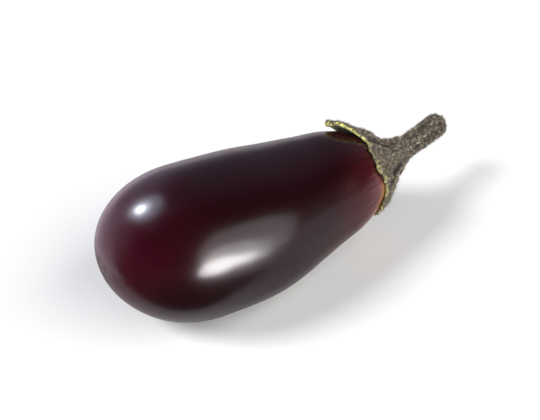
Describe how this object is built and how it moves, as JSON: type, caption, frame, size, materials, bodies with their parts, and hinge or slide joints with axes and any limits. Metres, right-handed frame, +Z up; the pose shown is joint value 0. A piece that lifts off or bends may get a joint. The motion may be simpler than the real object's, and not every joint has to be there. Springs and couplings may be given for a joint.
{
  "type": "eggplant",
  "caption": "Pear-shaped eggplant lying on its side, with a lobed calyx over its shoulder and a short bent stem.",
  "frame": {"origin": "middle of the small flat on the belly that the fruit rests on, under its weight", "axes": "+X along the fruit from the blossom end towards the stem, +Z up from the surface it lies on, +Y to the side that the stem bends to"},
  "size_m": [0.2321, 0.086, 0.0882],
  "materials": {
    "skin": "smooth waxy skin, near-black purple, very glossy, paler and streaked beside the calyx",
    "calyx": "matt, woolly with short hairs, brown-grey green with yellow-green cut edges",
    "stem": "matt, rough and ribbed, brown-grey with short pale hairs and a dried cut end"
  },
  "bodies": {
    "root": {"fruit": "skin", "calyx": "calyx", "stem": "stem"}
  },
  "joints": []
}
